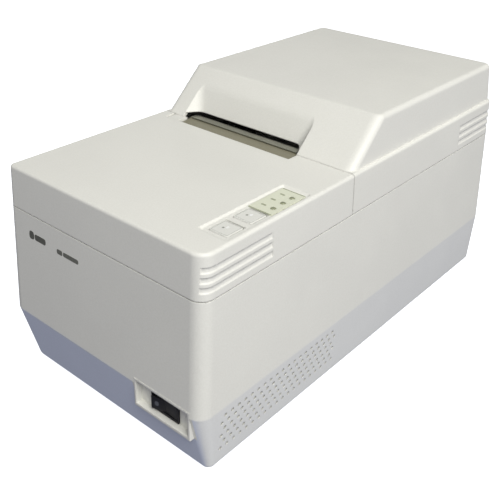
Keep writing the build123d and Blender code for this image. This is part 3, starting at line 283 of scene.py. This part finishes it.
def lens(name, colour):
    """A small tinted lens: glossy, deeper at the rim, lightly scratched."""
    g = Graph(name, specular=0.6, coat=0.6, coat_rough=0.05)
    rim = g.add("LayerWeight", {"Blend": 0.35}).outputs["Facing"]
    haze = g.noise(300.0, 3.0)
    base = g.mix(rim, colour, tone(colour, 0.45))
    base = g.mix(g.ramp(haze, 0.4, 0.7, 0.0, 0.25), base, tone(colour, 1.5))
    return g.finish(base, g.ramp(haze, 0.3, 0.7, 0.12, 0.28), haze, 0.00001)


# ---------------------------------------------------------------- palette
def pivot(joint_name):
    """A joint's place, in metres."""
    joints = frame["record"]["behaviour"]["joints"]
    return Vector(next(joint["pos_m"] for joint in joints if joint["name"] == joint_name))


CASE = (0.79, 0.785, 0.74)
BLACK = (0.011, 0.011, 0.014)
BELT = (0.028, 0.028, 0.028)
BELT_GAP = (0.012, 0.012, 0.012)
STEEL_SHEET = (0.20, 0.20, 0.21)
SHEET_GAP = (0.08, 0.08, 0.08)
# The plinth's painted bluish shade, strongest on its downward-leaning front and weaker on its sides, the
# painted shade in the vent holes, and the parts of the lower case that they follow, in metres.
PLINTH_PAINTED_SHADE = (0.905, 0.977, 1.23)
SIDE_SHADE_SHARE = 0.22
SHADE_LINE_BLUR = 0.0012
MASK_BLUR = 0.0002
PLINTH_TOP = 0.0403
SWITCH_FRAME = {"X": (0.0285, 0.0720), "Y": (-0.2, -0.1440), "Z": (0.0245, 0.0440)}
VENT_BAND = {"sides": (0.0715, 0.0810), "Y": (-0.1385, -0.0300), "Z": (0.0090, 0.0390)}
VENT_PAINTED_SHADE = (0.82, 0.76, 0.60)
ROLL_AXIS = pivot("paper_roll_turn").yz
MATERIALS = {
    # The lower case carries painted bluish shade on its plinth and painted shade in its vent holes.
    "case_plastic": plastic("case_plastic", CASE, 0.48, tinted=True),
    "cover_plastic": plastic("cover_plastic", tone(CASE, 1.01), 0.46),
    "button_plastic": plastic("button_plastic", (0.77, 0.77, 0.73), 0.42, 1300.0, 0.00003),
    "label_film": plastic("label_film", (0.75, 0.77, 0.63), 0.35, 1600.0, 0.00001),
    "lamp_lens": lens("lamp_lens", (0.30, 0.32, 0.20)),
    "black_plastic": plastic("black_plastic", BLACK, 0.42, 1200.0, 0.00003, 2.6, specular=0.35),
    "rubber": rubber("rubber", (0.03, 0.03, 0.03)),
    "tear_steel": metal("tear_steel", (0.45, 0.45, 0.385), 0.45, (60.0, 1.0, 1.0), 70.0),
    "zinc_steel": metal("zinc_steel", (0.60, 0.60, 0.57), 0.38, spots=260.0),
    "shaft_steel": metal("shaft_steel", (0.72, 0.72, 0.73), 0.16, (40.0, 1.0, 1.0), 90.0),
    "head_aluminium": metal("head_aluminium", (0.50, 0.51, 0.53), 0.42),
    "gear_plastic": plastic("gear_plastic", (0.80, 0.77, 0.68), 0.36, 1500.0, 0.00002),
    "guide_plastic": plastic("guide_plastic", (0.25, 0.236, 0.170), 0.4, 1100.0, 0.00003, 1.5),
    "well_plastic": plastic("well_plastic", (0.42, 0.43, 0.42), 0.5, 900.0, 0.00005, 1.3),
    "circuit_board": circuit_board("circuit_board", (0.015, 0.12, 0.05)),
    "winding": striped("winding", (0.72, 0.50, 0.06), (0.40, 0.26, 0.03), "Z", 0.0021, 0.4),
    "core_steel": striped("core_steel", STEEL_SHEET, SHEET_GAP, "Y", 0.0010, 0.45, 0.00008, 1.0),
    "motor_steel": metal("motor_steel", (0.36, 0.36, 0.37), 0.34),
    "brass": metal("brass", (0.80, 0.60, 0.26), 0.28),
    "belt_rubber": striped("belt_rubber", BELT, BELT_GAP, "X", 0.002, 0.7, 0.0003),
    "ribbon_fabric": woven("ribbon_fabric", (0.03, 0.02, 0.05), 0.0005, 0.75),
    "paper": layered("paper", (0.86, 0.86, 0.82), ROLL_AXIS, 0.0009, 0.75, 0.75),
    "cardboard": layered("cardboard", (0.45, 0.32, 0.19), ROLL_AXIS, 0.0006, 0.85),
}
slots = {s["node"]: s["material_slot"] for s in frame["record"]["subparts"]}
for node, piece in NODES.items():
    piece.data.materials.clear()
    piece.data.materials.append(MATERIALS[slots[node]])


# ---------------------------------------------------------------- printed marks, and painted shade around the keys
# Places and sizes in millimetres. The front wall starts at FRONT_FOOT, its Y and Z above the
# plinth, and climbs along FRONT_RISE. The rocker's tilt at rest is in degrees.
FRONT_FOOT = (-152.1, 40.3)
FRONT_RISE = (0, 6.4, 91.4)
LAMP_BAR_X = 60.0
LAMP_BAR = (3.2, 1.3)
LAMP_YS = (-86.0, -78.2, -70.6)
LABEL_LINE = 0.7
KEY_DOT = (1.3, 2.1)
KEY_DASH = (1.2, 1.2)
KEY_RIM = 5.2
KEY_LINE = 0.5
ROCKER_SPOT = (2.4, 3.0)
ROCKER_TILT = 7.0
PRINT_RISE = 0.04
PRINT_FOOT = 0.02
ARC_POINTS = 5


def patch(form, centre, size, corner, across=(1, 0, 0), upward=(0, 1, 0)):
    """Adds a thin printed plate with rounded corners, lying on the plane of across and upward."""
    across, upward = Vector(across).normalized(), Vector(upward).normalized()
    out = across.cross(upward)
    corner = min(corner, size[0] / 2, size[1] / 2)
    rim = []
    for quarter, (side_x, side_y) in enumerate(((1, 1), (-1, 1), (-1, -1), (1, -1))):
        for step in range(ARC_POINTS):
            angle = math.radians(90 * (quarter + step / (ARC_POINTS - 1)))
            x = side_x * (size[0] / 2 - corner) + corner * math.cos(angle)
            y = side_y * (size[1] / 2 - corner) + corner * math.sin(angle)
            rim.append(Vector(centre) + across * x + upward * y)
    top = [form.verts.new((point + out * PRINT_RISE) * MM) for point in rim]
    foot = [form.verts.new((point - out * PRINT_FOOT) * MM) for point in rim]
    form.faces.new(top)
    for i in range(len(rim)):
        j = (i + 1) % len(rim)
        form.faces.new((foot[i], foot[j], top[j], top[i]))


def add_piece(name, body, material, form):
    """Turns a finished bmesh into a piece that moves with a body."""
    mesh = bpy.data.meshes.new(name)
    bmesh.ops.recalc_face_normals(form, faces=form.faces)
    form.to_mesh(mesh)
    form.free()
    mesh.materials.append(material)
    piece = bpy.data.objects.new(name, mesh)
    scene.collection.objects.link(piece)
    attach(piece, body)
    return piece


def marks(name, body, material, patches):
    """One piece of several printed patches that move with a body."""
    form = bmesh.new()
    for settings in patches:
        patch(form, **settings)
    return add_piece(name, body, material, form)


def ink(name, colour, rough=0.5):
    """Printed ink: slightly uneven cover, a fine grain and a soft sheen."""
    g = Graph(name, specular=0.4)
    cover = g.noise(800.0, 4.0, 0.7)
    base = g.mix(g.ramp(cover, 0.35, 0.65), tone(colour, 0.9), tone(colour, 1.15))
    worn = g.noise(120.0, 3.0)
    base = g.mix(g.ramp(worn, 0.55, 0.75, 0.0, 0.4), base, tone(colour, 1.5))
    return g.finish(base, g.ramp(worn, 0.3, 0.7, rough - 0.08, rough + 0.08), cover, 0.000004)


DARK_INK = ink("dark_ink", (0.105, 0.107, 0.09))
MID_INK = ink("mid_ink", (0.15, 0.152, 0.13))
GREY_INK = ink("grey_ink", (0.30, 0.31, 0.27))
# The grey key outlines are painted shade for the gaps around the keys.
KEY_GAP_PAINTED_SHADE = ink("key_gap_painted_shade", (0.58, 0.585, 0.55))
OLIVE_INK = ink("olive_ink", (0.34, 0.36, 0.25))
PALE_INK = ink("pale_ink", (0.90, 0.91, 0.88), 0.35)
SWITCH_INK = ink("switch_ink", (0.10, 0.105, 0.12))


def box_mm(node):
    """The lower and upper corner of a node's box, in millimetres."""
    low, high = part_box(node)
    return Vector(low) / MM, Vector(high) / MM


def wall_mark(x_span, z_span, corner):
    """One mark on the sloping front wall of the lower case."""
    z = sum(z_span) / 2
    y = FRONT_FOOT[0] + FRONT_RISE[1] * (z - FRONT_FOOT[1]) / FRONT_RISE[2]
    size = (x_span[1] - x_span[0], z_span[1] - z_span[0])
    return {"centre": (sum(x_span) / 2, y, z), "size": size, "upward": FRONT_RISE, "corner": corner}


front_marks = [wall_mark((-58.0, -53.6), (92.2, 97.2), 1.6), wall_mark((-53.1, -43.0), (92.6, 96.4), 1.4)]
marks("maker_mark", "case", DARK_INK, front_marks)
type_marks = [wall_mark((-33.0, -28.2), (92.0, 95.0), 1.0), wall_mark((-27.6, -14.5), (92.2, 94.9), 1.0)]
marks("type_mark", "case", MID_INK, type_marks)


def panel_marks():
    """Plain bars beside the lamps, thin lines across both ends of the overlay, marks and painted gap
    shade on the keys.
    """
    low, high = box_mm("panel_label")
    bars = [{"centre": (LAMP_BAR_X, y, high.z), "size": LAMP_BAR, "corner": 0.5} for y in LAMP_YS]
    marks("label_marks", "front_cover", OLIVE_INK, bars)
    middle, half = (low + high) / 2, (high - low) / 2
    ends = []
    for side in (-1, 1):
        place = (middle.x, middle.y + side * (half.y - LABEL_LINE / 2), high.z)
        ends.append({"centre": place, "size": (2 * half.x - 1.0, LABEL_LINE), "corner": 0.3})
    marks("label_lines", "front_cover", OLIVE_INK, ends)
    for key in ("feed_button", "online_button"):
        key_marks(key)


def key_marks(key):
    """A pale dot, a small grey dash and a faint grey outline of painted shade for the gap around one key
    cap.
    """
    low, high = box_mm(key)
    x, y, top = (low.x + high.x) / 2, (low.y + high.y) / 2, high.z
    dot = {"centre": (x, y + 1.1, top), "size": KEY_DOT, "corner": 0.6}
    marks(key + "_dot", key, PALE_INK, [dot])
    dash = {"centre": (x - 1.6, y - 0.3, top), "size": KEY_DASH, "corner": 0.3}
    marks(key + "_dash", key, GREY_INK, [dash])
    # Painted shade of the gap around the key, as a grey outline on the cap.
    outline = []
    for shift in (-KEY_RIM, KEY_RIM):
        outline.append({"centre": (x, y + shift, top), "size": (2 * KEY_RIM, KEY_LINE), "corner": 0.2})
        outline.append({"centre": (x + shift, y, top), "size": (KEY_LINE, 2 * KEY_RIM), "corner": 0.2})
    marks(key + "_painted_gap_shade", key, KEY_GAP_PAINTED_SHADE, outline)


panel_marks()


def rocker_mark():
    """A plain spot on the left half of the power rocker, following its slanted face."""
    turn = Matrix.Rotation(math.radians(ROCKER_TILT), 3, "Z")
    centre = pivot("power_rocker_tip") / MM + turn @ Vector((-5.4, -1.77, 0))
    spot = {"centre": centre, "size": ROCKER_SPOT, "corner": 1.1}
    spot.update(across=turn @ Vector((8.9, 1.6, 0)), upward=(0, 0, 1))
    marks("rocker_spot", "power_rocker", SWITCH_INK, [spot])


rocker_mark()


# ---------------------------------------------------------------- stage
def studio_floor():
    """A pale floor that shines by itself and throws no light on the object."""
    mesh = bpy.data.meshes.new("studio_floor")
    form = bmesh.new()
    bmesh.ops.create_grid(form, x_segments=1, y_segments=1, size=6.0)
    form.to_mesh(mesh)
    form.free()
    floor = bpy.data.objects.new("studio_floor", mesh)
    scene.collection.objects.link(floor)
    g = Graph("floor_paint", specular=0.1)
    cloud = g.noise(3.0, 3.0)
    paint = g.mix(g.ramp(cloud, 0.3, 0.7), (0.86, 0.89, 0.94), (0.88, 0.91, 0.96))
    mesh.materials.append(g.finish(paint, 0.9, cloud, 0.0001))
    g.shader.inputs["Emission Color"].default_value = (0.98, 0.99, 1.0, 1.0)
    g.shader.inputs["Emission Strength"].default_value = 0.85
    g.material.cycles.emission_sampling = "NONE"
    floor.visible_diffuse = False
    floor.visible_glossy = False


studio_floor()


LIGHT_AIM = (0, 0, 0.1)


def area_light(name, place, size, power, colour):
    """A soft rectangular lamp that points at the middle of the object."""
    data = bpy.data.lights.new(name, "AREA")
    data.shape = "RECTANGLE"
    data.size, data.size_y = size
    data.energy = power
    data.color = colour
    light = bpy.data.objects.new(name, data)
    light.location = place
    direction = Vector(LIGHT_AIM) - Vector(place)
    light.rotation_euler = direction.to_track_quat("-Z", "Y").to_euler()
    scene.collection.objects.link(light)


area_light("key_light", (0.94, -0.52, 1.15), (0.9, 0.9), 21.0, (1.0, 0.995, 0.96))
area_light("rear_light", (-1.5, 1.1, 0.16), (1.4, 0.28), 7.0, (1.0, 0.995, 0.98))
area_light("right_light", (1.8, 0.5, 0.5), (1.0, 0.8), 3.0, (1.0, 0.99, 0.97))


def studio_world():
    """Soft neutral light from above, dim bluish light from below, and a white backdrop."""
    world = bpy.data.worlds.new("studio_world")
    scene.world = world
    world.use_nodes = True
    tree = world.node_tree
    tree.nodes.clear()
    output = tree.nodes.new("ShaderNodeOutputWorld")
    both = tree.nodes.new("ShaderNodeMixShader")
    seen = tree.nodes.new("ShaderNodeLightPath")
    ambient = tree.nodes.new("ShaderNodeBackground")
    white = tree.nodes.new("ShaderNodeBackground")
    white.inputs["Color"].default_value = (1.0, 1.0, 1.0, 1.0)
    place = tree.nodes.new("ShaderNodeTexCoord")
    split = tree.nodes.new("ShaderNodeSeparateXYZ")
    level = tree.nodes.new("ShaderNodeMapRange")
    level.inputs["From Min"].default_value = -0.25
    level.inputs["From Max"].default_value = 0.25
    blend = tree.nodes.new("ShaderNodeMix")
    blend.data_type = "RGBA"
    blend.inputs[6].default_value = (0.19, 0.195, 0.245, 1.0)
    blend.inputs[7].default_value = (0.30, 0.30, 0.30, 1.0)
    tree.links.new(place.outputs["Generated"], split.inputs[0])
    tree.links.new(split.outputs["Z"], level.inputs["Value"])
    tree.links.new(level.outputs["Result"], blend.inputs[0])
    tree.links.new(blend.outputs[2], ambient.inputs["Color"])
    tree.links.new(seen.outputs["Is Camera Ray"], both.inputs["Fac"])
    tree.links.new(ambient.outputs["Background"], both.inputs[1])
    tree.links.new(white.outputs["Background"], both.inputs[2])
    tree.links.new(both.outputs["Shader"], output.inputs["Surface"])


studio_world()
scene.view_settings.view_transform = "Standard"


# ---------------------------------------------------------------- camera
CAMERA_AT = (0.2780, -0.3552, 0.3079)
AZIMUTH, ELEVATION, ROLL = (math.radians(angle) for angle in (40.15, 26.76, 1.24))
level = Vector((-math.sin(AZIMUTH), math.cos(AZIMUTH), 0))
forward = level * math.cos(ELEVATION) - Vector((0, 0, math.sin(ELEVATION)))
right = forward.cross(Vector((0, 0, 1))).normalized()
up = right.cross(forward)
right, up = math.cos(ROLL) * right + math.sin(ROLL) * up, math.cos(ROLL) * up - math.sin(ROLL) * right
lens_data = bpy.data.cameras.new("main_camera")
lens_data.sensor_width = 36.0
lens_data.lens = 55.21
lens_data.shift_y = -0.1
lens_data.clip_start = 0.01
camera = bpy.data.objects.new("main_camera", lens_data)
camera.matrix_world = Matrix.Translation(CAMERA_AT) @ Matrix((right, up, -forward)).transposed().to_4x4()
scene.collection.objects.link(camera)
scene.camera = camera
